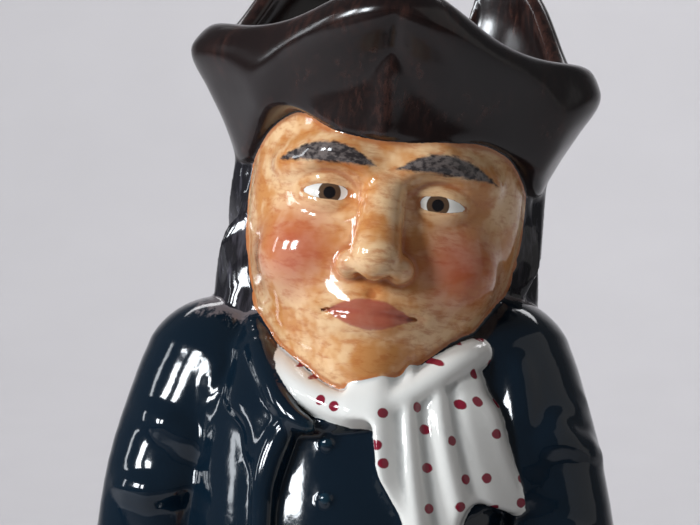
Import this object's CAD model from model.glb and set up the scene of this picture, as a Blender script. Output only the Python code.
"""A glazed toby jug: sculpted as signed distances on a grid, skinned, painted and lit from its right.

The sculpture is worked out in millimetres in the figure's own frame: +Z is up, the figure faces -Y, +X is on
its left hand, and its axis stands STAND_BACK behind the centre of its base.
"""

import math

import bpy
import numpy as np
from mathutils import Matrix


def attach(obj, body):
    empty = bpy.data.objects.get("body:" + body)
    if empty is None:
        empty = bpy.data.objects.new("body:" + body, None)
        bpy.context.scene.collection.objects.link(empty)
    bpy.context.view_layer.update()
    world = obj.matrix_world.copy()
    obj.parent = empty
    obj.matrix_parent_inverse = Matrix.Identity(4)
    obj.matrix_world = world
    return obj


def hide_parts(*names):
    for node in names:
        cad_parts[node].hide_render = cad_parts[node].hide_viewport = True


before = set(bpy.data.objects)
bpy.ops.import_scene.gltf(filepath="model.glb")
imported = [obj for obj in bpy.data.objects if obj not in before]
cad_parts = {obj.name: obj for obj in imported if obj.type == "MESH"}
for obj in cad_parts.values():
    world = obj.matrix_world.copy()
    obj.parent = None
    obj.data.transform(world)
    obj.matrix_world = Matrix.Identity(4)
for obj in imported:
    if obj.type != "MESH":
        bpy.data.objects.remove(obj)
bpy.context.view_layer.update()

import openvdb
from mathutils import Matrix, Vector

# ---- Driving dimensions, the same as the solid's -------------------------------------------------

WALL = 3.6
BASE = {"width": 75, "depth": 74, "height": 6.5}
STAND_BACK = 6.5

HEAD_HEIGHT = 55
HEAD_TURN, HEAD_LEAN, HEAD_LIFT = 6, 7, 2  # degrees
CHIN = Vector((1.4, -2, 88))
SKULL = (20.8, 21.8)

HAT_EDGE, HAT_RIM = 36.2, 51.6
HAT_RADIUS, HAT_LEFT, HAT_BACK = 24.2, 1.1, 1.5
RIM_RADIUS, SPOUT, SPOUT_RISE, CORNER, LOBE, DIP = 27.6, 6.6, 6.8, 3.9, 16, 0.8

MUG = {"radius": 7.4, "foot": 43.5, "height": 17.5, "y": -31}
SKIRT = {"width": 66, "front": -25, "back": 28, "opening": 17.6, "seat": -19.6, "top": 52}
SKIRT_TAPER = 0.22  # of its width and depth
SKIRT_SQUARE = 1.25  # how much squarer than an oval its front is
SKIRT_RADIUS = 26  # roughly, to turn a share of its size into millimetres
OPENING_TAPER = 0.058
PLEATS, PLEAT_DEPTH = 8, 1.1

COAT_LIFT = 1.4
LAPEL_LIFT, LAPEL_DISH = 2.9, 0.6
SCARF_LIFT = 4.4

# ---- The grid ------------------------------------------------------------------------------------

STEP = 0.5
LOW = np.array([-41.0, -46.0, -2.0])  # the corners of the space that holds the jug
HIGH = np.array([41.0, 48.0, 160.0])
SHAPE = tuple(np.ceil((HIGH - LOW) / STEP).astype(int))
AXES = [(LOW[i] + STEP * np.arange(SHAPE[i])).astype(np.float32) for i in range(3)]
FAR = 8.0  # millimetres; further than this from a surface its distance isn't worked out
SIDES = (-1, 1)
FIGURE = Matrix.Identity(4)
HEAD = (
    Matrix.Translation(CHIN)
    @ Matrix.Rotation(math.radians(HEAD_TURN), 4, "Z")
    @ Matrix.Rotation(math.radians(HEAD_LEAN), 4, "Y")
    @ Matrix.Rotation(math.radians(-HEAD_LIFT), 4, "X")
)


def window(centre, reach):
    """The part of the grid within reach of a point."""
    low = (np.array(centre) - reach - LOW) / STEP
    high = (np.array(centre) + reach - LOW) / STEP + 2
    return tuple(slice(max(0, int(a)), max(1, min(n, int(b)))) for a, b, n in zip(low, high, SHAPE))


def coordinates(cut, pose):
    """x, y and z over a window, in the frame of the pose."""
    x, y, z = (AXES[i][cut[i]].reshape([-1 if j == i else 1 for j in range(3)]) for i in range(3))
    if pose is FIGURE:
        return x, y, z
    m = pose.inverted()
    return tuple(m[i][0] * x + m[i][1] * y + m[i][2] * z + m[i][3] for i in range(3))


def smooth_min(a, b, blend):
    share = np.clip(0.5 + 0.5 * (b - a) / blend, 0, 1)
    return b + (a - b) * share - blend * share * (1 - share)


def smooth_max(a, b, blend):
    return -smooth_min(-a, -b, blend)


def smoothstep(x, low, high):
    share = np.clip((x - low) / (high - low), 0, 1)
    return share * share * (3 - 2 * share)


def bell(x, centre, width):
    return np.exp(-(((x - centre) / width) ** 2))


def through(stations):
    """A value that runs smoothly through a few (position, value) stations."""
    at, values = (np.array(column, float) for column in zip(*stations))
    padded = np.concatenate([values[:1], values, values[-1:]])

    def value(x):
        x = np.clip(x, at[0], at[-1])
        i = np.clip(np.searchsorted(at, x, side="left") - 1, 0, len(at) - 2)
        t = (x - at[i]) / (at[i + 1] - at[i])
        a, b, c, d = (padded[i + k] for k in range(4))
        bend = 2 * a - 5 * b + 4 * c - d
        twist = 3 * b - a - 3 * c + d
        return (0.5 * (2 * b + (c - a) * t + bend * t**2 + twist * t**3)).astype(np.float32)

    return value


# ---- Forms: each is its centre, how far it reaches, and its distance function --------------------


def oval_distance(x, y, half_width, half_depth):
    share = np.sqrt((x / half_width) ** 2 + (y / half_depth) ** 2) + 1e-6
    slope = np.sqrt((x / half_width**2) ** 2 + (y / half_depth**2) ** 2) + 1e-6
    return share * (share - 1) / slope


def blob(centre, radii):
    """An ellipsoid."""

    def distance(x, y, z):
        scaled = [(p - c) / r for p, c, r in zip((x, y, z), centre, radii)]
        share = np.sqrt(sum(s * s for s in scaled)) + 1e-6
        slope = np.sqrt(sum((s / r) ** 2 for s, r in zip(scaled, radii))) + 1e-6
        return share * (share - 1) / slope

    return centre, max(radii), distance


def bone(a, b, start, end):
    """A straight round-ended limb with a radius at each end."""
    a, b = np.array(a, float), np.array(b, float)
    along = b - a

    def distance(x, y, z):
        px, py, pz = x - a[0], y - a[1], z - a[2]
        share = np.clip((px * along[0] + py * along[1] + pz * along[2]) / (along @ along), 0, 1)
        out = np.sqrt(
            (px - share * along[0]) ** 2 + (py - share * along[1]) ** 2 + (pz - share * along[2]) ** 2
        )
        return out - (start + share * (end - start))

    return (a + b) / 2, np.abs(along) / 2 + max(start, end), distance


def limb(points, radii, pieces=3):
    """Bones along a smooth curve through the points."""
    at = range(len(points))
    curve = [through(list(zip(at, column))) for column in zip(*points)]
    radius = through(list(zip(at, radii)))
    stops = np.linspace(0, len(points) - 1, (len(points) - 1) * pieces + 1)
    places = np.array([axis(stops) for axis in curve]).T
    sizes = radius(stops)
    return [bone(places[i], places[i + 1], sizes[i], sizes[i + 1]) for i in range(len(stops) - 1)]


def neck_ring(x, half_width, half_depth, z, rise, thickness, height):
    """A ring of oval section round the neck, lowest in front, climbing to its sides and level behind."""

    def distance(px, py, pz):
        dx, dy = px - x, py - CHIN.y
        out = oval_distance(dx, dy, half_width, half_depth)
        forward = -dy / (np.hypot(dx, dy) + 1e-3)
        up = pz - z - rise * (1 - np.maximum(forward, 0) ** 4)
        share = np.sqrt((out / thickness) ** 2 + (up / height) ** 2) + 1e-6
        slope = np.sqrt((out / thickness**2) ** 2 + (up / height**2) ** 2) + 1e-6
        return share * (share - 1) / slope

    reach = np.array([half_width + thickness, half_depth + thickness, rise / 2 + height])
    return (x, CHIN.y, z + rise / 2), reach, distance


def drum(x, y, low, high, radius):
    """An upright cylinder with rounded edges."""

    def distance(px, py, pz):
        side = np.hypot(px - x, py - y) - radius
        end = np.abs(pz - (low + high) / 2) - (high - low) / 2
        return smooth_max(side, end, 0.8)

    return (x, y, (low + high) / 2), max(radius, (high - low) / 2), distance


class Clay:
    """All the clay that gets one paint: the distance to its surface over the whole grid."""

    def __init__(self):
        self.distance = np.full(SHAPE, FAR, np.float32)

    def add(self, form, blend=0.6, pose=FIGURE):
        centre, reach, distance = form
        reach = np.array(reach) if pose is FIGURE else np.max(reach) * 1.05
        cut = window(pose @ Vector(centre), reach + 2 + blend)
        part = self.distance[cut]
        part[...] = smooth_min(part, distance(*coordinates(cut, pose)), blend)

    def add_all(self, forms, blend=0.6, pose=FIGURE):
        for form in forms:
            self.add(form, blend, pose)

    def carve(self, form, blend=0.6, pose=FIGURE):
        centre, reach, distance = form
        cut = window(pose @ Vector(centre), np.max(reach) + 2 + blend)
        part = self.distance[cut]
        part[...] = smooth_max(part, -distance(*coordinates(cut, pose)), blend)


def outline_distance(points):
    """Signed distance over x and z to a smooth closed outline of (x, z) points in the front view."""
    loop = list(points)
    wrapped = [*loop[-2:], *loop, *loop[:2]]
    at = range(-2, len(loop) + 2)
    stops = np.linspace(0, len(loop), len(loop) * 5 + 1)
    px, pz = (through(list(zip(at, column)))(stops) for column in zip(*wrapped))
    x, z = AXES[0][:, None], AXES[2][None, :]
    nearest = np.full((SHAPE[0], SHAPE[2]), 1e6, np.float32)
    inside = np.zeros(nearest.shape, bool)
    for i in range(len(stops) - 1):
        ex, ez = px[i + 1] - px[i], pz[i + 1] - pz[i]
        dx, dz = x - px[i], z - pz[i]
        share = np.clip((dx * ex + dz * ez) / (ex * ex + ez * ez + 1e-9), 0, 1)
        nearest = np.minimum(nearest, (dx - share * ex) ** 2 + (dz - share * ez) ** 2)
        crosses = (pz[i] > z) != (pz[i + 1] > z)
        inside ^= crosses & (x < px[i] + ex * dz / (ez + 1e-9 * (ez == 0)))
    return np.where(inside, -1, 1) * np.sqrt(nearest)


# ---- The body ------------------------------------------------------------------------------------

body_width = through(
    [(5, 26), (25, 26), (40, 26.4), (52, 25.6), (64, 25), (76, 24.4), (86, 23.4), (94, 19.6), (100.5, 13)]
)
body_depth = through(
    [(5, 20), (25, 20), (40, 23), (52, 25.4), (64, 25), (76, 23.6), (86, 21), (94, 15.6), (100.5, 10)]
)
body_back = through(
    [(5, 4.5), (25, 4.5), (40, 1), (52, -0.5), (64, -0.5), (76, 0), (86, 0.5), (100.5, 2.5)]
)
BODY_FOOT, BODY_TOP = 5, 100.5

# Outlines and edges of the dress as (x, z) points in the front view.
WAISTCOAT = [
    (-6.8, 90), (-7.4, 83.4), (-10.4, 75), (-10.8, 66), (-9.4, 54), (-12, 42),
    (12, 42), (9.4, 54), (10.8, 66), (10.4, 75), (7.4, 83.4), (6.8, 90),
]  # fmt: skip
RIGHT_LAPEL = [
    (-15.2, 99), (-12.8, 97.5), (-10.5, 91.7), (-8.7, 87.5), (-7, 85.2), (-4.5, 83.6), (-7.6, 82.4),
    (-10.6, 74), (-13.4, 78), (-14.4, 82.4), (-17.2, 85.4), (-18, 89), (-17.6, 94.5),
]  # fmt: skip
LEFT_LAPEL = [
    (18, 99), (21, 97), (24.2, 92), (25, 87.4), (23.6, 85), (26.6, 81.4), (25.4, 76.4), (18, 70),
    (9, 80), (9, 94),
]  # fmt: skip
SCARF_TAIL = [
    (1.3, 85), (5.3, 83.6), (6.1, 80.2), (6.7, 76.3), (8.3, 73), (10.2, 68.8), (10.8, 62), (14, 59.4),
    (17, 63), (18.2, 68.8), (20, 71.7), (22.9, 71), (25.8, 69.9), (27.8, 70.4), (27.4, 72.7), (25.6, 76.9),
    (24.4, 80.5), (23.2, 84.9), (21.5, 87.5), (18, 92), (4, 92),
]  # fmt: skip
COLLAR_EDGE = [(-14.4, 98), (-12.4, 94), (-10.4, 90.2), (-8.4, 86.8), (-6, 84.2), (-3.6, 83)]
LAPEL_EDGE = [(-7.2, 83.2), (-8.6, 80), (-9.8, 76.6), (-10.4, 72.6), (-10.4, 66), (-9.6, 56)]
LEFT_LAPEL_EDGE = [(25, 88), (23.8, 85), (25, 82.6), (26, 80.4), (25.4, 77.4), (24.6, 75)]
WAISTCOAT_TOP = [(-6.2, 82.6), (-3, 82.9), (0.6, 83.2), (4, 83.4)]
BUTTONS, BUTTON_X = (80.4, 72.4, 64.4), -1.2

# The scarf's pleats: how much each stands out, from left to right.
scarf_fold = through([
    (1, 0), (6.8, 1), (9.9, -0.5), (11.8, 0.6), (13.6, -1), (17.1, 1.1), (18.8, 0.1), (20.8, 0.9), (24, 1.2),
    (28, 2.4),
])  # fmt: skip
SCARF_KNOT_X, SCARF_KNOT_Z, SCARF_FAN = 6, 77, 0.02

TORSO = (slice(0, SHAPE[0]), slice(0, SHAPE[1]), slice(0, int((BODY_TOP + 6 - LOW[2]) / STEP)))


def torso_distance():
    """Distance to the waistcoated body, open at its ends."""
    x, y, z = coordinates(TORSO, FIGURE)
    return oval_distance(x, y - body_back(z), body_width(z), body_depth(z)).astype(np.float32)


def on_front(flat):
    """A pattern of the front view, laid on the torso's front only."""
    y = coordinates(TORSO, FIGURE)[1]
    return flat[:, None, TORSO[2]] * smoothstep(-y, -2, 4)


def press_on(clay, torso, lift, outline=None, blend=0.9):
    """Adds a layer of that lift over the torso, within an outline in the front view."""
    y, z = coordinates(TORSO, FIGURE)[1:]
    layer = torso - lift
    ends = np.maximum(z - BODY_TOP, BODY_FOOT - z)
    layer = smooth_max(layer, ends + 0 * layer, 2)
    if outline is not None:
        layer = smooth_max(layer, outline[:, None, TORSO[2]] + 0 * layer, blend)
        layer = np.maximum(layer, y + 2)
    part = clay.distance[TORSO]
    part[...] = smooth_min(part, layer, 0.5)


def on_body(x, z, lift):
    """The point of the torso's front at x and z, lifted."""
    width, depth = float(body_width(z)) + lift, float(body_depth(z)) + lift
    return x, float(body_back(z)) - depth * math.sqrt(max(0.02, 1 - (x / width) ** 2)), z


def roll_on_body(points, lift, radii):
    """A soft ridge that follows (x, z) points over the torso's front."""
    return limb([on_body(x, z, lift) for x, z in points], radii)


def cut_coat(coat, torso):
    """The coat over the torso, open in front, with its lapels, rolled edges and the waistcoat's buttons."""
    opening = outline_distance(WAISTCOAT)
    press_on(coat, torso, on_front(COAT_LIFT * smoothstep(opening, -0.5, 0.6) - COAT_LIFT) + COAT_LIFT)
    for outline in (RIGHT_LAPEL, LEFT_LAPEL):
        edge = outline_distance(outline)
        dished = LAPEL_DISH * smoothstep(-edge, 0, 2.4)
        press_on(coat, torso, LAPEL_LIFT - LAPEL_DISH + on_front(dished), edge, 1.8)
    coat.add_all(roll_on_body(COLLAR_EDGE, LAPEL_LIFT, [1.9, 1.7, 1.5, 1.3, 1.1, 0.7]), 1.4)
    coat.add_all(roll_on_body(LAPEL_EDGE, COAT_LIFT + 0.2, [0.9, 1.2, 1.2, 1, 0.9, 0.8]), 2)
    coat.add_all(roll_on_body(LEFT_LAPEL_EDGE, LAPEL_LIFT - 0.3, [0.9, 0.8, 1, 1, 0.9, 0.7]), 0.8)
    coat.add_all(roll_on_body(WAISTCOAT_TOP, 0.3, [0.7, 0.9, 0.9, 0.7]), 0.8)
    for z in BUTTONS:
        coat.add(blob(on_body(BUTTON_X, z, -0.1), (1.2, 0.9, 1.2)), 0.4)


def dress(coat, scarf):
    torso = torso_distance()
    cut_coat(coat, torso)
    x, z = AXES[0][:, None], AXES[2][None, :]
    fanned = SCARF_KNOT_X + (x - SCARF_KNOT_X) * (1 + SCARF_FAN * (z - SCARF_KNOT_Z))
    press_on(scarf, torso, SCARF_LIFT + on_front(scarf_fold(fanned)), outline_distance(SCARF_TAIL), 1.4)
    band = neck_ring(x=3.2, half_width=16.8, half_depth=19.2, z=85.2, rise=8.6, thickness=3.6, height=2.6)
    scarf.add(band, 1)
    collar = neck_ring(x=1.6, half_width=19.4, half_depth=15.4, z=83.6, rise=9.4, thickness=2.6, height=4)
    coat.add(collar, 1)


def skirts(coat):
    """The coat's skirts: squarish in front, pleated behind, narrower at the waist, open over the legs."""
    cut = window((0, 1.5, 28), (38, 34, 30))
    x, y, z = coordinates(cut, FIGURE)
    middle = (SKIRT["front"] + SKIRT["back"]) / 2
    depth = (SKIRT["back"] - SKIRT["front"]) / 2
    share = np.clip((z - BODY_FOOT) / (SKIRT["top"] - BODY_FOOT), 0, 1)
    narrowing = 1 - SKIRT_TAPER * share**1.6
    angle = np.abs(np.arctan2(x, middle - y))
    pleat = PLEAT_DEPTH * np.cos(PLEATS * angle) * (1 - share) * smoothstep(angle, 0.9, 1.4)
    across = np.abs(x / (narrowing * SKIRT["width"] / 2 + pleat))
    forward = np.abs((y - middle) / (narrowing * depth + pleat))
    power = 2 * np.where(angle < math.pi / 2, SKIRT_SQUARE, 1)
    spread = ((across**power + forward**power) ** (1 / power) - 1) * SKIRT_RADIUS
    gap = np.maximum(np.abs(x) - SKIRT["opening"] + OPENING_TAPER * (z - 7), y - SKIRT["seat"])
    spread = smooth_max(spread, -gap, 1.2)
    spread = smooth_max(spread, np.maximum(z - SKIRT["top"], 4 - z) + 0 * spread, 2)
    part = coat.distance[cut]
    part[...] = smooth_min(part, spread, 1)


# ---- Arms, hands and mug -------------------------------------------------------------------------

# Each on the figure's left side; mirrored() puts its twin on the right.
SLEEVE = [(20.8, 0.6, 89.8), (28, -3.4, 75), (29.6, -4.4, 59), (22.4, -18.6, 51.6), (13.5, -28.5, 52)]
ARM_RADII = [12.7, 9.8, 9.4, 7.4, 5.6]
CUFF = [(22, -19.4, 51.6), (16.4, -25.8, 52)]
SHIRT_CUFF = [(14.6, -27.4, 52), (12.8, -29.4, 52.2)]
PALM = (9.4, MUG["y"] - 1, 52.4)
FINGERS = (47.8, 50.7, 53.6, 56.4)

FOLD_RADIUS, FOLD_START, FOLD_END = 1.1, 0.3, 0.6
FOLD_SINK = 0.9  # how far a fold's middle lies inside the sleeve
# Folds of each sleeve as (x, z) points in the front view.
SLEEVE_FOLDS = {
    -1: [
        [(-19.4, 91), (-19.6, 85), (-19.8, 79), (-19.8, 72), (-19.4, 64)],
        [(-31, 84.6), (-27, 82.8), (-22, 79.6)],
        [(-34, 74), (-29.6, 73), (-24, 74)],
        [(-36, 65), (-30, 62.4), (-22, 64.4)],
    ],
    1: [
        [(25.6, 92), (26, 86), (26.2, 80), (26.2, 73), (25.8, 64)],
        [(33.6, 86), (30.6, 82.6), (28.4, 77.6)],
        [(36.4, 78.4), (32.6, 80), (29, 80.6)],
        [(37, 65), (33, 66.4), (28, 65)],
    ],
}


def mirrored(side, points):
    return [(side * x, y, z) for x, y, z in points]


def front_of_sleeve(side):
    """A function that lays an (x, z) point on the front of the upper sleeve, sunk a little into it."""
    column = SLEEVE[2::-1]
    centre_x, centre_y = (through([(p[2], p[axis]) for p in column]) for axis in (0, 1))
    radius = through(list(zip([p[2] for p in column], ARM_RADII[2::-1])))

    def lay(x, z):
        aside = (side * x - float(centre_x(z))) / float(radius(z))
        front = float(radius(z)) * math.sqrt(max(0.06, 1 - aside**2))
        return x, float(centre_y(z)) - front + FOLD_SINK, z

    return lay


def finger(side, i):
    """One finger round the mug, the topmost the shortest."""
    y, z = MUG["y"], FINGERS[i]
    joints = [(8.6, y - 4.4, z), (5.2, y - 7, z), (1.8 + 0.4 * i, y - 7.8, z)]
    return limb(mirrored(side, joints), [1.9, 1.7, 1.5])


def arm(side, coat, linen, skin):
    coat.add_all(limb(mirrored(side, SLEEVE), ARM_RADII, 6), 0.4)
    lay = front_of_sleeve(side)
    for fold in SLEEVE_FOLDS[side]:
        radii = [FOLD_START, *[FOLD_RADIUS] * (len(fold) - 2), FOLD_END]
        coat.add_all(limb([lay(x, z) for x, z in fold], radii, 2), 3)
    coat.add(bone(*mirrored(side, CUFF), 8.6, 7.6), 0.5)
    linen.add(bone(*mirrored(side, SHIRT_CUFF), 6.6, 6.2), 0.5)
    skin.add(blob(*mirrored(side, [PALM]), (4.4, 5, 6)), 0.6)
    for i in range(len(FINGERS)):
        skin.add_all(finger(side, i), 0.35)


def mug(ware, froth):
    y, foot, radius = MUG["y"], MUG["foot"], MUG["radius"]
    top = foot + MUG["height"]
    ware.add(drum(0, y, foot, top, radius), 0.4)
    ware.add(drum(0, y, foot, foot + 2, radius + 0.6), 0.6)
    ware.add(drum(0, y, top - 1.4, top, radius + 0.5), 0.6)
    froth.add(blob((0, y, top - 0.8), (radius - 0.9, radius - 0.9, 1.9)), 0.3)


# ---- Legs and base -------------------------------------------------------------------------------

KNEE = (12, -29.5, 35)
THIGH = [(10, -6, 37), (11, -18, 37), KNEE]
KNEE_BAND = [(12, -29, 33), (12.2, -28.2, 30.4)]
STOCKING = [KNEE, (12.4, -26.6, 25), (12, -24.4, 13)]
SHOE = [(11.6, -22, 10), (12.4, -31.5, 10.2), (13.4, -37.6, 9.4)]
BUCKLE = (12.7, -34, 14.2)


def leg(side, breeches, linen, shoes):
    breeches.add_all(limb(mirrored(side, THIGH), [9.6, 9, 8]), 1)
    breeches.add(bone(*mirrored(side, KNEE_BAND), 7.4, 6.9), 0.8)
    linen.add_all(limb(mirrored(side, STOCKING), [6.6, 6.4, 4.6], 4), 1)
    shoes.add_all(limb(mirrored(side, SHOE), [4.6, 4.9, 4]), 1)
    linen.add(blob(*mirrored(side, [BUCKLE]), (2.6, 2.2, 1.1)), 0.2)


def base(coat):
    """The low oval plinth under the coat and shoes, its top edge rounded."""
    cut = window((0, -STAND_BACK, 3), (40, 40, 6))
    x, y, z = coordinates(cut, FIGURE)
    side = oval_distance(x, y + STAND_BACK, BASE["width"] / 2, BASE["depth"] / 2)
    ends = np.maximum(z - BASE["height"], -z)
    part = coat.distance[cut]
    part[...] = smooth_min(part, smooth_max(side + 0 * z, ends + 0 * side, 1.5), 1.2)


# ---- Head ----------------------------------------------------------------------------------------

head_width = through(
    [(-9, 0.62), (-4, 0.62), (1, 0.66), (5, 0.74), (11, 0.86), (18, 0.95), (26, 1), (36, 0.98), (44, 0.9)]
)
head_depth = through(
    [(-9, 0.62), (-4, 0.66), (1, 0.78), (5, 0.88), (11, 0.93), (18, 0.96), (26, 0.97), (36, 1), (44, 0.92)]
)
BROW = 0.585 * HEAD_HEIGHT
EYES = 0.505 * HEAD_HEIGHT
NOSE = 0.31 * HEAD_HEIGHT
MOUTH = 0.195 * HEAD_HEIGHT
EYE_APART = 8  # from the face's middle line
EYE_RADIUS = 4.9
EYE_DEEP = -14.6
LIP_HALF_WIDTH = 6.6
LID_UP, LID_DOWN = 1.5, -1.2  # the eye's opening above and below its middle

# Features in the head's frame; those of a side are on its left.
BROW_RIDGE = [(2.4, -19.6, BROW - 0.6), (8, -19.4, BROW + 1), (14.5, -13.6, BROW - 0.4)]
CHEEK = (10.4, -12.6, NOSE + 1.4)
EYE_SOCKET = (EYE_APART, -22.4, EYES + 0.4)
EYEBALL = (EYE_APART, EYE_DEEP, EYES)
NOSE_BRIDGE = [(0, -19.4, EYES + 3), (0, -21.6, EYES - 2), (0, -24, NOSE + 2.2)]
NOSE_TIP = (0, -24.2, NOSE + 1.8)
NOSE_WING = (3.7, -21.8, NOSE + 0.6)
NOSTRIL = (2, -23.4, NOSE - 1.5)
PHILTRUM = [(0, -22.4, NOSE - 2.4), (0, -22.2, MOUTH + 2.8)]
UPPER_LIP = [(0, -20.8, MOUTH + 0.9), (2.6, -20.6, MOUTH + 1.1), (6.6, -18.6, MOUTH + 0.2)]
LOWER_LIP = [(0, -20.4, MOUTH - 1.3), (3, -20.1, MOUTH - 1.1), (6.4, -18.6, MOUTH - 0.1)]
MOUTH_LINE = [(0, -22.6, MOUTH), (3.4, -21.8, MOUTH + 0.1), (7.2, -18.9, MOUTH - 0.1)]
MOUTH_MOUND = (0, -15.4, MOUTH + 0.8)
CHIN_MOUND = (0, -16.2, 3.4)


def skull():
    """The head from under the jaw to inside the hat."""

    def distance(x, y, z):
        out = oval_distance(x, y, SKULL[0] * head_width(z), SKULL[1] * head_depth(z))
        return smooth_max(out, np.maximum(z - 41, -6 - z), 1.2)

    return (0, 0, 17), (24, 24, 25), distance


def eyelid(side, thickness, edge, lower):
    """A shell over the eyeball, cut at the edge of the lid, which bows round the opening."""

    def distance(x, y, z):
        across = x - side * EYE_APART
        out = np.sqrt(across**2 + (y - EYE_DEEP) ** 2 + (z - EYES) ** 2) - EYE_RADIUS - thickness
        bowed = z - EYES - edge * (1 - (across / 5) ** 2)
        return smooth_max(out, bowed if lower else -bowed, 0.3)

    return (side * EYE_APART, EYE_DEEP, EYES), EYE_RADIUS + thickness, distance


def head_mass(skin):
    """The skull with its brows, cheeks, chin and eye sockets."""
    skin.add(skull(), 1, HEAD)
    for side in SIDES:
        skin.add_all(limb(mirrored(side, BROW_RIDGE), [1.9, 2.1, 1.7]), 3, HEAD)
        skin.add(blob(*mirrored(side, [CHEEK]), (6.8, 6.8, 6.2)), 4, HEAD)
    skin.add(blob(MOUTH_MOUND, (8.6, 6.2, 6)), 4, HEAD)
    skin.add(blob(CHIN_MOUND, (6, 5, 4.6)), 3, HEAD)
    for side in SIDES:
        skin.carve(blob(*mirrored(side, [EYE_SOCKET]), (5.2, 4.2, 3.6)), 2.4, HEAD)


def nose_and_eyes(skin, eyes):
    skin.add_all(limb(NOSE_BRIDGE, [2, 2.4, 3.3], 4), 1.6, HEAD)
    skin.add(blob(NOSE_TIP, (3.4, 3.8, 3.3)), 1.2, HEAD)
    for side in SIDES:
        skin.add(blob(*mirrored(side, [NOSE_WING]), (2.1, 3.2, 2.1)), 0.9, HEAD)
        skin.carve(blob(*mirrored(side, [NOSTRIL]), (1.1, 1.7, 0.9)), 0.5, HEAD)
        eyes.add(blob(*mirrored(side, [EYEBALL]), (EYE_RADIUS,) * 3), 0.1, HEAD)
        skin.add(eyelid(side, 0.75, LID_UP, lower=False), 0.4, HEAD)
        skin.add(eyelid(side, 0.5, LID_DOWN, lower=True), 0.4, HEAD)


def lips(skin):
    skin.carve(bone(*PHILTRUM, 0.5, 0.8), 1, HEAD)
    for side in SIDES:
        skin.add_all(limb(mirrored(side, UPPER_LIP), [1, 1.1, 0.5]), 0.9, HEAD)
        skin.add_all(limb(mirrored(side, LOWER_LIP), [1.3, 1.2, 0.5]), 0.9, HEAD)
        for groove in limb(mirrored(side, MOUTH_LINE), [0.4, 0.4, 0.3]):
            skin.carve(groove, 0.6, HEAD)


hair_width = through([(-15, 23.4), (-8, 24), (2, 23.8), (16, 23.6), (38, 22.6)])
HAIR_MIDDLE = 2.4  # behind the head's axis
HAIR_CORE = 13  # its radius under the face, where it doesn't show
HAIRLINE = (66, 82)  # degrees from the front, where the hair comes out beside the face
LOCKS, LOCK_DEPTH, LOCK_SWAY = 18, 1, 0.22
STRANDS, STRAND_DEPTH = 4 * LOCKS, 0.1


def hair_form():
    """Wavy locks round the sides and the back of the head, down over the collar."""

    def distance(x, y, z):
        angle = np.arctan2(x, HAIR_MIDDLE - y)
        beside = smoothstep(np.degrees(np.abs(angle)), *HAIRLINE)
        sway = LOCK_SWAY * np.sin(z / 7 + np.cos(angle))
        lock = LOCK_DEPTH * np.cos(LOCKS * (angle + sway))
        strand = STRAND_DEPTH * np.cos(STRANDS * (angle + sway) + 2 * np.sin(z / 5))
        radius = HAIR_CORE + beside * (hair_width(z) + lock + strand - HAIR_CORE)
        out = np.hypot(x, (y - HAIR_MIDDLE) / 0.98) - radius
        return smooth_max(out, np.maximum(z - 39, -14 - z), 2)

    return (0, 3, 12.5), (26, 26, 28), distance


# ---- Hat -----------------------------------------------------------------------------------------

# Angles round the hat are in degrees from its front, positive to the figure's left.
SPOUT_SPREAD = 26
CORNER_TURN, CORNER_SPREAD = 84, 19
LOBE_RISES, LOBE_FALLS = (95, 138), (152, 162)
ARCH_TURN, ARCH_SPREAD, RIGHT_ARCH, LEFT_ARCH = 38, 17, 3.4, 1.6
TEMPLE_DROP, TEMPLE_DENT = 4, 2.2
RIM_MEAN = 26  # the rim's mean radius


def rim_at(turn):
    """The rim's radius and height: a spout in front, a corner on each side and two lobes behind."""
    beside = np.abs(turn)
    spout = bell(beside, 0, SPOUT_SPREAD)
    corner = bell(beside, CORNER_TURN, CORNER_SPREAD)
    lobe = smoothstep(beside, *LOBE_RISES) * (1 - smoothstep(beside, *LOBE_FALLS))
    radius = RIM_RADIUS + SPOUT * spout + CORNER * corner - DIP * bell(beside, 180, 20)
    return radius, HAT_RIM + SPOUT_RISE * spout + corner + LOBE * lobe


def edge_at(turn):
    """The hat's lower edge arches over each brow, the right one higher, and comes down at the temples."""
    arch = RIGHT_ARCH * bell(turn, -ARCH_TURN, ARCH_SPREAD) + LEFT_ARCH * bell(turn, ARCH_TURN, ARCH_SPREAD)
    return HAT_EDGE + arch - TEMPLE_DROP * smoothstep(np.abs(turn), 52, 84)


FOLD_TOP, FOLD_DROP = 48.5, 8.7  # the throat's upper edge in front, and its fall at 30 degrees to the side
THROAT_SLOPE, KEEL = 0.22, 1.1


def pressed_at(turn, height, edge):
    """How far the brim stands out under the spout: pressed in as a throat, with a keel in its middle."""
    beside = np.abs(turn)
    fold = FOLD_TOP - FOLD_DROP * (beside / 30) ** 0.73
    front = 1 - smoothstep(beside, 24, 46)
    throat = THROAT_SLOPE * np.maximum(height - edge, 0) * (1 - smoothstep(height - fold, -2, 7))
    keel = (1 - smoothstep(height - fold, -2, 0.5)) * bell(beside, 0, 4)
    return front * (KEEL * keel - throat)


def swell_at(turn):
    """The power on the brim's climb: where it is low, beside the spout, the brim swells out early."""
    return 1 - 0.58 * bell(turn, -46, 17) - 0.55 * bell(turn, 64, 12)


brim_section = through([(0, 0), (0.25, 0.26), (0.5, 0.62), (0.78, 1), (1, 0.78)])


def brim_table(turns, heights):
    """The outside radius of the brim at each angle and height."""
    rows = []
    for turn in turns:
        radius, rim = rim_at(turn)
        edge = edge_at(turn)
        share = np.clip((heights - edge) / (rim - edge), 0, 1) ** swell_at(turn)
        low = HAT_RADIUS - TEMPLE_DENT * bell(turn, -74, 30)
        out = low + (radius - low) * brim_section(share)
        rows.append(out + pressed_at(turn, heights, edge))
    return np.array(rows, np.float32)


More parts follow.
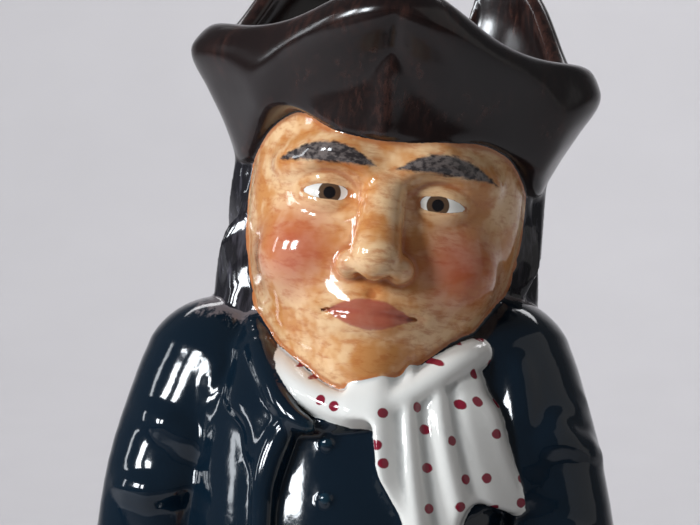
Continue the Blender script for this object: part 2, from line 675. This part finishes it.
def look_up(table, row, column):
    """Bilinear reading of a table."""
    i = np.clip(row.astype(int), 0, table.shape[0] - 2)
    j = np.clip(column.astype(int), 0, table.shape[1] - 2)
    a, b = np.clip(row - i, 0, 1), np.clip(column - j, 0, 1)
    near = table[i, j] * (1 - b) + table[i, j + 1] * b
    far = table[i + 1, j] * (1 - b) + table[i + 1, j + 1] * b
    return near * (1 - a) + far * a


TURNS = np.arange(-180, 181.0)
HEIGHT_STEP = 0.25
HEIGHTS = np.arange(30, 70, HEIGHT_STEP)
CROWN_THICKNESS = 3
FUNNEL_RADIUS, FUNNEL_SLOPE, FUNNEL_DEPTH = 15.6, 0.9, 6  # of the jug's mouth inside the hat


def brim_distance(turn, around, z):
    """Distance out from the brim's outside."""
    table = brim_table(TURNS, HEIGHTS)
    per_degree, per_height = np.gradient(table)
    steep = np.sqrt(1 + (per_height / HEIGHT_STEP) ** 2 + (np.degrees(per_degree) / table) ** 2)
    at = (turn - TURNS[0], (z - HEIGHTS[0]) / HEIGHT_STEP)
    return (around - look_up(table, *at)) / look_up(steep, *at)


def above_rim(turn, z):
    """Distance up from the rim's edge, allowing for how steeply it climbs round the hat."""
    rim = rim_at(TURNS)[1]
    lean = np.sqrt(1 + (np.degrees(np.gradient(rim)) / RIM_MEAN) ** 2)
    return (z - np.interp(turn, TURNS, rim)) / np.interp(turn, TURNS, lean)


def hat(felt, mouth):
    """The turned-up brim and the crown under it, and the funnel between them that is the jug's mouth."""
    cut = window(HEAD @ Vector((0, 2, 47)), (42, 42, 26))
    x, y, z = coordinates(cut, HEAD)
    dx, dy = x + HAT_LEFT, y - HAT_BACK
    turn = np.degrees(np.arctan2(dx, -dy))
    around = np.hypot(dx, dy)
    out = brim_distance(turn, around, z)
    edge = edge_at(turn) - z
    shell = smooth_max(np.abs(out + WALL / 2) - WALL / 2, above_rim(turn, z), 1.8)
    crown = np.maximum(out, -edge - CROWN_THICKNESS)
    part = felt.distance[cut]
    part[...] = smooth_max(np.minimum(shell, crown), edge, 1.2)
    funnel = around - FUNNEL_RADIUS - FUNNEL_SLOPE * np.maximum(z - HAT_EDGE + 1, 0)
    part = mouth.distance[cut]
    part[...] = np.maximum(np.maximum(out + WALL, funnel), HAT_EDGE - FUNNEL_DEPTH - z)


# ---- Hollow and handle ---------------------------------------------------------------------------

HOLLOW_FLOOR, HOLLOW_TOP = 9, 127
hollow_width = through([
    (9, 17), (16, 21), (40, 21.8), (60, 20.8), (74, 19.6), (84, 16.4), (92, 11.4), (102, 12.8), (112, 14),
    (127, 14.4),
])  # fmt: skip
hollow_depth = through([
    (9, 12), (16, 14.6), (34, 15.6), (48, 21), (60, 21), (74, 19.4), (84, 15), (92, 11.4), (102, 13.4),
    (112, 14.4), (127, 14.4),
])  # fmt: skip
HANDLE_PATH = [
    (3, 17, 110), (2.6, 27, 115), (2, 36, 113), (1, 41.9, 100), (0.3, 41.5, 84), (0, 37, 67), (0, 29, 56),
    (0, 19, 49),
]  # fmt: skip
HANDLE_RADII = [4.4, 4, 3.8, 3.8, 3.8, 3.9, 4.1, 4.6]


def hollow(inside):
    """The vessel's inside, from its floor up through the neck into the leaning head."""
    cut = window((0, 0, 68), (30, 30, 62))
    x, y, z = coordinates(cut, FIGURE)
    lean = np.maximum(0, z - CHIN.z + 6) * math.tan(math.radians(HEAD_LEAN))
    middle_x = CHIN.x * smoothstep(z, 70, 88) + lean
    middle_y = body_back(np.minimum(z, 86)) - smoothstep(z, 84, 96)
    out = oval_distance(x - middle_x, y - middle_y, hollow_width(z), hollow_depth(z))
    ends = np.maximum(HOLLOW_FLOOR - z, z - HOLLOW_TOP)
    part = inside.distance[cut]
    part[...] = smooth_min(part, smooth_max(out, ends + 0 * out, 3), 2)


# ---- Skin of the sculpture -----------------------------------------------------------------------

PAINTS = ("coat", "skin", "eyes", "hair", "felt", "scarf", "linen", "breeches", "shoes", "ware", "froth")
SOFTNESS = 0.55  # how far the glaze rounds the creases between two parts
LIP_WIDTH = 1.6  # how far the pale glaze of the inside reaches over its edge
NORMAL_REACH = 0.8  # how far apart the sculpture is read for its slope and curvature
TRIANGLES = 190_000


def sculpt():
    """All the clay by paint, the distance to the whole jug, and the distance to its inside."""
    clay = {name: Clay() for name in PAINTS}
    dress(clay["coat"], clay["scarf"])
    skirts(clay["coat"])
    base(clay["coat"])
    for side in SIDES:
        arm(side, clay["coat"], clay["linen"], clay["skin"])
        leg(side, clay["breeches"], clay["linen"], clay["shoes"])
    mug(clay["ware"], clay["froth"])
    head_mass(clay["skin"])
    nose_and_eyes(clay["skin"], clay["eyes"])
    lips(clay["skin"])
    clay["hair"].add(hair_form(), 0.5, HEAD)
    inside = Clay()
    hat(clay["felt"], inside)
    hollow(inside)
    clay["felt"].add_all(limb(HANDLE_PATH, HANDLE_RADII, 9), 0.8)
    whole = clay["coat"].distance.copy()
    for name in PAINTS[1:]:
        whole = smooth_min(whole, clay[name].distance, SOFTNESS)
    whole = smooth_max(whole, -inside.distance, 0.8)
    return clay, whole, inside.distance


def sample(grid, places):
    """Trilinear reading of a grid at places in millimetres."""
    steps = (places - LOW) / STEP
    low = np.clip(steps.astype(int), 0, np.array(SHAPE) - 2)
    share = np.clip(steps - low, 0, 1)
    total = 0
    for corner in np.ndindex(2, 2, 2):
        weight = np.prod(np.where(corner, share, 1 - share), axis=1)
        total = total + weight * grid[tuple((low + corner).T)]
    return total


def skin_mesh(whole):
    """The surface as a mesh in millimetres, thinned to its triangle budget."""
    grid = openvdb.FloatGrid(FAR)
    grid.copyFromArray(np.clip(whole, -FAR, FAR))
    points, triangles, quads = grid.convertToPolygons(isovalue=0.0, adaptivity=0.0)
    mesh = bpy.data.meshes.new("jug_glazed")
    mesh.vertices.add(len(points))
    mesh.vertices.foreach_set("co", (points * STEP + LOW).astype(np.float32).ravel())
    corners = np.concatenate([triangles.ravel(), quads.ravel()])
    sizes = np.concatenate([np.full(len(triangles), 3), np.full(len(quads), 4)])
    mesh.loops.add(len(corners))
    mesh.loops.foreach_set("vertex_index", corners.astype(np.int32))
    mesh.polygons.add(len(sizes))
    mesh.polygons.foreach_set("loop_start", (np.cumsum(sizes) - sizes).astype(np.int32))
    mesh.update(calc_edges=True)
    mesh.validate()
    return mesh


def thin(jug):
    """Collapses edges where the surface is plain, down to the triangle budget."""
    modifier = jug.modifiers.new("thin", "DECIMATE")
    modifier.ratio = min(1.0, TRIANGLES / (2 * len(jug.data.polygons)))
    evaluated = jug.evaluated_get(bpy.context.evaluated_depsgraph_get())
    thinned = bpy.data.meshes.new_from_object(evaluated)
    jug.modifiers.clear()
    jug.data = thinned


def vertex_array(mesh):
    flat = np.empty(3 * len(mesh.vertices), np.float32)
    mesh.vertices.foreach_get("co", flat)
    return flat.reshape(-1, 3).astype(float)


def smooth_normals(mesh, whole, places):
    """Gives the mesh the sculpture's own normals, for even reflections, and returns its curvature."""
    gradient = np.empty_like(places)
    total = -6 * sample(whole, places)
    for axis in range(3):
        offset = np.eye(3)[axis] * NORMAL_REACH
        ahead, behind = sample(whole, places + offset), sample(whole, places - offset)
        gradient[:, axis] = ahead - behind
        total += ahead + behind
    gradient /= np.linalg.norm(gradient, axis=1, keepdims=True) + 1e-9
    mesh.normals_split_custom_set_from_vertices(gradient.astype(np.float32))
    return total / NORMAL_REACH**2


def add_attribute(mesh, name, values):
    layer = mesh.attributes.new(name, "FLOAT", "POINT")
    layer.data.foreach_set("value", values.astype(np.float32))


def mark_paints(mesh, clay, inside, whole, places):
    """Stores on each vertex how far it is inside each paint and the hollow, and its curvature."""
    distances = {name: sample(clay[name].distance, places) for name in PAINTS}
    for name in PAINTS[1:]:
        others = np.min([distances[other] for other in PAINTS if other != name], axis=0)
        add_attribute(mesh, name, others - distances[name])
    add_attribute(mesh, "inside", LIP_WIDTH - sample(inside, places))
    add_attribute(mesh, "ridge", smooth_normals(mesh, whole, places))


def build_jug():
    clay, whole, inside = sculpt()
    jug = bpy.data.objects.new("jug_glazed", skin_mesh(whole))
    bpy.context.collection.objects.link(jug)
    thin(jug)
    mesh = jug.data
    mesh.name = "jug_glazed"
    mesh.polygons.foreach_set("use_smooth", [True] * len(mesh.polygons))
    places = vertex_array(mesh)
    mark_paints(mesh, clay, inside, whole, places)
    mesh.transform(Matrix.Scale(0.001, 4) @ Matrix.Translation((0, STAND_BACK, 0)))
    return jug


# ---- Paint and glaze -----------------------------------------------------------------------------

SPOT_SPACING, SPOT_RADIUS = 5.0, 0.19  # millimetres, and a share of the spacing
SPOT_WRAP = 24.0  # radius of the cloth round the body
WISP_LENGTH = 13.0
IRIS, PUPIL = 1.75, 1.0


def rgb(red, green, blue):
    """A colour as seen on screen, from 0 to 255, as the linear colour that shaders take."""
    shares = (red / 255, green / 255, blue / 255)
    linear = (c / 12.92 if c <= 0.04045 else ((c + 0.055) / 1.055) ** 2.4 for c in shares)
    return (*linear, 1.0)


class Shader:
    """A node tree with short names for the few nodes that the paints are made of."""

    def __init__(self, material):
        material.use_nodes = True
        self.tree = material.node_tree
        self.tree.nodes.clear()

    def node(self, kind, inputs=(), output=0, **settings):
        made = self.tree.nodes.new("ShaderNode" + kind)
        for key, value in settings.items():
            setattr(made, key, value)
        for key, value in dict(inputs).items():
            self.put(made.inputs[key], value)
        return made.outputs[output] if made.outputs else made

    def put(self, socket, value):
        if isinstance(value, bpy.types.NodeSocket):
            self.tree.links.new(value, socket)
        else:
            socket.default_value = value

    def attribute(self, name):
        return self.node("Attribute", output="Fac", attribute_name=name)

    def maths(self, operation, *values):
        return self.node("Math", dict(enumerate(values)), operation=operation)

    def step(self, value, low, high):
        """0 below low, 1 above high, smooth between."""
        inputs = {"Value": value, "From Min": low, "From Max": high}
        return self.node("MapRange", inputs, interpolation_type="SMOOTHSTEP")

    def mix(self, share, a, b):
        made = self.tree.nodes.new("ShaderNodeMix")
        made.data_type = "RGBA"
        self.put(made.inputs["Factor"], share)
        self.put(made.inputs[6], a)
        self.put(made.inputs[7], b)
        return made.outputs[2]

    def placed(self, pose=None, stretch=(1, 1, 1)):
        """Position in millimetres in the figure's frame or the head's, stretched."""
        at = self.node("TexCoord", output="Object")
        to_figure = Matrix.Translation((0, -STAND_BACK, 0)) @ Matrix.Scale(1000, 4)
        place, turn, scale = ((pose or FIGURE).inverted() @ to_figure).decompose()
        inputs = {"Vector": at, "Location": place, "Rotation": turn.to_euler(), "Scale": scale}
        at = self.node("Mapping", inputs)
        return self.node("Mapping", {"Vector": at, "Scale": stretch})

    def noise(self, at, size, detail=2.0, roughness=0.55, distortion=0.0):
        inputs = {"Vector": at, "Scale": 1 / size, "Detail": detail}
        return self.node("TexNoise", {**inputs, "Roughness": roughness, "Distortion": distortion})

    def length(self, a, b):
        """The length of a vector in a plane."""
        squares = (self.maths("MULTIPLY", a, a), self.maths("MULTIPLY", b, b))
        return self.maths("SQRT", self.maths("ADD", *squares))

    def parts(self, vector):
        made = self.tree.nodes.new("ShaderNodeSeparateXYZ")
        self.put(made.inputs[0], vector)
        return made.outputs


def coat_paint(s):
    """Navy glaze that breaks to teal where it runs thin over ridges, with the hair brushed on to it."""
    at = s.placed()
    thin = s.maths("ADD", s.attribute("ridge"), s.maths("MULTIPLY", s.noise(at, 5, 3), 0.5))
    colour = s.mix(s.step(thin, 0.9, 2.6), rgb(10, 25, 37), rgb(22, 55, 70))
    strands = s.noise(s.placed(HEAD, (1.5, 1.5, 0.22)), 1.5, 3, 0.6, 0.4)
    reach = s.maths("ADD", s.attribute("hair"), s.maths("MULTIPLY", strands, WISP_LENGTH))
    front = s.step(s.parts(at)[1], 14.0, 4.0)
    wisps = s.maths("MULTIPLY", s.step(reach, 2.0, 4.2), s.maths("MULTIPLY", front, 0.85))
    return s.mix(wisps, colour, rgb(112, 104, 106))


def felt_paint(s):
    """Nearly black brown, streaked with a paler brown where the brush ran dry."""
    at = s.placed(HEAD, (1, 1, 0.16))
    brushed = s.maths("ADD", s.noise(at, 0.9, 4, 0.65, 0.3), s.maths("MULTIPLY", s.attribute("ridge"), 0.2))
    wash = s.noise(s.placed(HEAD), 10, 2)
    streak = s.maths("MULTIPLY", s.step(brushed, 0.42, 0.8), s.step(wash, 0.4, 0.66))
    return s.mix(streak, rgb(25, 15, 14), rgb(62, 38, 32))


def hair_paint(s):
    """Charcoal with grey streaks down the locks."""
    at = s.placed(HEAD, (1, 1, 0.14))
    streak = s.step(s.noise(at, 1.2, 3, 0.6), 0.45, 0.75)
    return s.mix(streak, rgb(30, 29, 33), rgb(78, 76, 84))


def skin_paint(s):
    """Tan brushed over cream, warmer in the hollows, with rosy cheeks."""
    at = s.placed(HEAD)
    brushed = s.noise(s.placed(HEAD, (0.5, 0.6, 1.5)), 1.6, 4, 0.62, 0.3)
    wash = s.noise(at, 6.5, 3, 0.6)
    colour = s.mix(s.step(wash, 0.4, 0.62), rgb(232, 192, 146), rgb(204, 140, 82))
    colour = s.mix(s.maths("MULTIPLY", s.step(brushed, 0.44, 0.7), 0.6), colour, rgb(180, 100, 48))
    hollow = s.maths("ADD", s.maths("MULTIPLY", s.attribute("ridge"), -1.0), s.maths("MULTIPLY", wash, 0.5))
    colour = s.mix(s.maths("MULTIPLY", s.step(hollow, 0.35, 1.3), 0.75), colour, rgb(174, 98, 52))
    x, y, z = s.parts(at)
    aside = s.maths("SUBTRACT", s.maths("ABSOLUTE", x), 12)
    up = s.maths("SUBTRACT", z, NOSE + 2)
    ragged = s.maths("ADD", s.length(aside, up), s.maths("MULTIPLY", wash, 7.0))
    front = s.step(y, 2.0, -4.0)
    rosy = s.maths("MULTIPLY", s.maths("MULTIPLY", s.step(ragged, 13, 4.5), 0.7), front)
    return s.mix(rosy, colour, rgb(182, 74, 60))


def painted_lips(s, colour):
    """A muted red over both lips, pointed at their corners."""
    x, y, z = s.parts(s.placed(HEAD))
    across = s.maths("DIVIDE", x, LIP_HALF_WIDTH)
    full = s.maths("SUBTRACT", 1.0, s.maths("MULTIPLY", across, across))
    up = s.maths("DIVIDE", s.maths("ABSOLUTE", s.maths("SUBTRACT", z, MOUTH - 0.1)), 2.1)
    margin = s.maths("SUBTRACT", s.maths("MULTIPLY", full, 1.15), up)
    ragged = s.maths("ADD", margin, s.maths("MULTIPLY", s.noise(s.placed(HEAD), 1.4, 2), 0.25))
    mask = s.maths("MULTIPLY", s.step(ragged, 0.1, 0.32), s.step(y, -14.0, -16.0))
    return s.mix(s.maths("MULTIPLY", mask, 0.85), colour, rgb(168, 84, 70))


def brushed_brows(s, colour):
    """Brows in soft grey brush strokes, fullest in the middle."""
    at = s.placed(HEAD)
    x, y, z = s.parts(at)
    aside = s.maths("SUBTRACT", s.maths("ABSOLUTE", x), EYE_APART + 0.8)
    along = s.maths("MULTIPLY", s.maths("MULTIPLY", aside, aside), 0.028)
    arch = s.maths("SUBTRACT", BROW + 1.4, along)
    up = s.maths("ABSOLUTE", s.maths("SUBTRACT", z, arch))
    hairs = s.noise(s.placed(HEAD, (0.8, 0.8, 1.3)), 0.9, 3)
    brow = s.maths("ADD", s.maths("ADD", up, along), s.maths("MULTIPLY", hairs, 1.1))
    mask = s.maths("MULTIPLY", s.step(brow, 2.35, 1.75), s.step(y, -6.0, -9.0))
    mask = s.maths("MULTIPLY", mask, s.step(s.attribute("skin"), -0.1, 0.1))
    return s.mix(mask, colour, s.mix(s.step(hairs, 0.38, 0.62), rgb(52, 46, 46), rgb(112, 102, 98)))


def eye_paint(s):
    """A dark pupil in a brown iris on the white."""
    x, _, z = s.parts(s.placed(HEAD))
    aside = s.maths("SUBTRACT", s.maths("ABSOLUTE", x), EYE_APART)
    off = s.length(aside, s.maths("SUBTRACT", z, EYES))
    iris = s.mix(s.step(off, PUPIL, PUPIL - 0.2), rgb(92, 70, 52), rgb(20, 18, 20))
    return s.mix(s.step(off, IRIS, IRIS - 0.15), rgb(236, 232, 224), iris)


def scarf_paint(s):
    """Off-white with round maroon spots, a little smudged, spread over the cloth as it wraps the body."""
    x, y, z = s.parts(s.placed())
    round_body = s.maths("ARCTAN2", x, s.maths("MULTIPLY", y, -1.0))
    flat = s.node("CombineXYZ", {"X": s.maths("MULTIPLY", round_body, SPOT_WRAP), "Y": z})
    inputs = {"Vector": flat, "Scale": 1 / SPOT_SPACING, "Randomness": 0.6}
    spots = s.node("TexVoronoi", inputs, "Distance", voronoi_dimensions="2D")
    smudged = s.maths("ADD", spots, s.maths("MULTIPLY", s.noise(s.placed(), 1.1, 2), 0.05))
    colour = s.mix(s.step(s.attribute("ridge"), -0.1, -1.2), rgb(232, 230, 224), rgb(196, 196, 192))
    return s.mix(s.step(smudged, SPOT_RADIUS, SPOT_RADIUS - 0.035), colour, rgb(134, 30, 50))


def all_paints(s, at):
    """The colour all over the jug: each paint lies where its clay is, with a wavering edge."""
    wobble = s.maths("MULTIPLY", s.maths("SUBTRACT", s.noise(at, 1.6, 2), 0.5), 0.5)

    def over(colour, name, paint):
        edge = s.maths("ADD", s.attribute(name), wobble)
        return s.mix(s.step(edge, -0.08, 0.08), colour, paint)

    brown = s.mix(s.step(s.noise(at, 2, 3), 0.4, 0.6), rgb(98, 52, 30), rgb(128, 74, 42))
    colour = coat_paint(s)
    colour = over(colour, "breeches", felt_paint(s))
    colour = over(colour, "shoes", rgb(24, 18, 18))
    colour = over(colour, "linen", rgb(222, 219, 210))
    colour = over(colour, "ware", brown)
    colour = over(colour, "froth", rgb(236, 230, 214))
    colour = over(colour, "scarf", scarf_paint(s))
    colour = over(colour, "skin", brushed_brows(s, painted_lips(s, skin_paint(s))))
    colour = over(colour, "hair", hair_paint(s))
    colour = over(colour, "felt", felt_paint(s))
    colour = s.mix(s.step(s.attribute("eyes"), -0.04, 0.04), colour, eye_paint(s))
    deep = s.step(s.parts(s.placed(HEAD))[2], HAT_EDGE + 4.5, HAT_EDGE + 3.5)
    lining = s.maths("MULTIPLY", s.step(s.attribute("inside"), -0.1, 0.1), deep)
    return s.mix(lining, colour, rgb(232, 224, 204))


def glaze():
    """The glaze over all the paints: glossy and faintly rippled, a little duller over the felt."""
    material = bpy.data.materials.new("hand_painted_glaze")
    s = Shader(material)
    at = s.placed()
    colour = all_paints(s, at)
    ripple = s.noise(at, 7, 1)
    grain = s.noise(at, 1.1, 2)
    relief = s.maths("ADD", s.maths("MULTIPLY", ripple, 0.5), s.maths("MULTIPLY", grain, 0.06))
    bump = s.node("Bump", {"Height": relief, "Distance": 0.0004, "Strength": 0.5})
    gloss = s.node("MapRange", {"Value": grain, "To Min": 0.06, "To Max": 0.12})
    dulled = s.maths("MULTIPLY", s.step(s.attribute("felt"), -0.1, 0.1), 0.1)
    roughness = s.maths("ADD", gloss, dulled)
    principled = s.node("BsdfPrincipled", {"Base Color": colour, "Roughness": roughness, "Normal": bump})
    s.node("OutputMaterial", {"Surface": principled})
    return material


# ---- Room, light and camera ----------------------------------------------------------------------

SHADE_FROM, SHADE_TO = -150.0, -195.0  # millimetres in front of the jug's axis
SHEET_HALF_WIDTH = 2.2  # metres
SHEET = [
    (-1.6, 0), (-0.7, 0), (0.1, 0), (0.7, 0), (1.1, 0.02), (1.4, 0.1), (1.6, 0.28), (1.74, 0.6), (1.8, 1.1),
    (1.82, 2),
]  # fmt: skip


def backdrop():
    """A pale sheet that lies under the jug and curves up behind it, its front end in the room's shade."""
    steps = np.linspace(0, len(SHEET) - 1, 60)
    back, up = (through(list(enumerate(column)))(steps) for column in zip(*SHEET))
    vertices = [(side * SHEET_HALF_WIDTH, float(y), float(z)) for y, z in zip(back, up) for side in SIDES]
    faces = [(2 * i, 2 * i + 1, 2 * i + 3, 2 * i + 2) for i in range(len(steps) - 1)]
    mesh = bpy.data.meshes.new("backdrop")
    mesh.from_pydata(vertices, [], faces)
    mesh.polygons.foreach_set("use_smooth", [True] * len(faces))
    sheet = bpy.data.objects.new("backdrop", mesh)
    bpy.context.collection.objects.link(sheet)
    material = bpy.data.materials.new("pale_paper")
    s = Shader(material)
    at = s.placed()
    tone = s.mix(s.noise(at, 60, 2), rgb(200, 198, 200), rgb(206, 204, 206))
    tone = s.mix(s.step(s.parts(at)[1], SHADE_FROM, SHADE_TO), tone, rgb(86, 82, 82))
    s.node("OutputMaterial", {"Surface": s.node("BsdfPrincipled", {"Base Color": tone, "Roughness": 0.9})})
    mesh.materials.append(material)


def area_light(name, place, target, size, power, colour):
    light = bpy.data.lights.new(name, "AREA")
    light.shape = "RECTANGLE"
    light.size, light.size_y = size
    light.energy = power
    light.color = colour
    lamp = bpy.data.objects.new(name, light)
    lamp.location = place
    lamp.rotation_euler = (Vector(target) - Vector(place)).to_track_quat("-Z", "Y").to_euler()
    bpy.context.collection.objects.link(lamp)


FACE_AT, WALL_AT = (0, 0, 0.11), (0, 1.6, 0.2)
DAYLIGHT, WARM, WHITE = (0.9, 0.95, 1.0), (1.0, 0.97, 0.94), (0.98, 0.98, 1.0)
ROOM_TINT, ROOM_STRENGTH = (0.62, 0.64, 0.68, 1), 0.16


def light_room():
    """A window in two panes, another beside the jug, a fill from its left, and light on the sheet behind."""
    area_light("window_left", (-0.72, -0.50, 0.42), FACE_AT, (0.15, 0.26), 5, DAYLIGHT)
    area_light("window_right", (-0.52, -0.70, 0.42), FACE_AT, (0.15, 0.26), 5, DAYLIGHT)
    area_light("window_side", (-0.95, -0.1, 0.4), FACE_AT, (0.08, 0.4), 1, DAYLIGHT)
    area_light("fill", (1.3, -0.3, 0.6), FACE_AT, (1.5, 1.5), 2, WARM)
    area_light("sky", (0, 0.9, 1.3), WALL_AT, (1.6, 0.6), 15.5, WHITE)
    world = bpy.data.worlds.new("room")
    world.use_nodes = True
    background = world.node_tree.nodes["Background"]
    background.inputs["Color"].default_value = ROOM_TINT
    background.inputs["Strength"].default_value = ROOM_STRENGTH
    bpy.context.scene.world = world


CAMERA_TURN, CAMERA_RISE = 8, -1.5  # degrees
CAMERA_DISTANCE, FIELD_WIDTH = 0.5, 0.1015  # metres
CAMERA_AIM = Vector((2.5, -25 + STAND_BACK, 106.8)) / 1000


def photograph():
    camera = bpy.data.cameras.new("camera")
    camera.sensor_width = 36
    camera.lens = camera.sensor_width * CAMERA_DISTANCE / FIELD_WIDTH
    camera.clip_start = 0.01
    camera.clip_end = 10
    turn, rise = math.radians(CAMERA_TURN), math.radians(CAMERA_RISE)
    back = Vector((math.sin(turn) * math.cos(rise), -math.cos(turn) * math.cos(rise), math.sin(rise)))
    holder = bpy.data.objects.new("camera", camera)
    holder.location = CAMERA_AIM + back * CAMERA_DISTANCE
    holder.rotation_euler = (-back).to_track_quat("-Z", "Y").to_euler()
    bpy.context.collection.objects.link(holder)
    bpy.context.scene.camera = holder


# ---- The scene -----------------------------------------------------------------------------------

jug = build_jug()
jug.data.materials.clear()
jug.data.materials.append(glaze())
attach(jug, "root")
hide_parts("jug")
backdrop()
light_room()
photograph()
bpy.context.scene.view_settings.view_transform = "Standard"
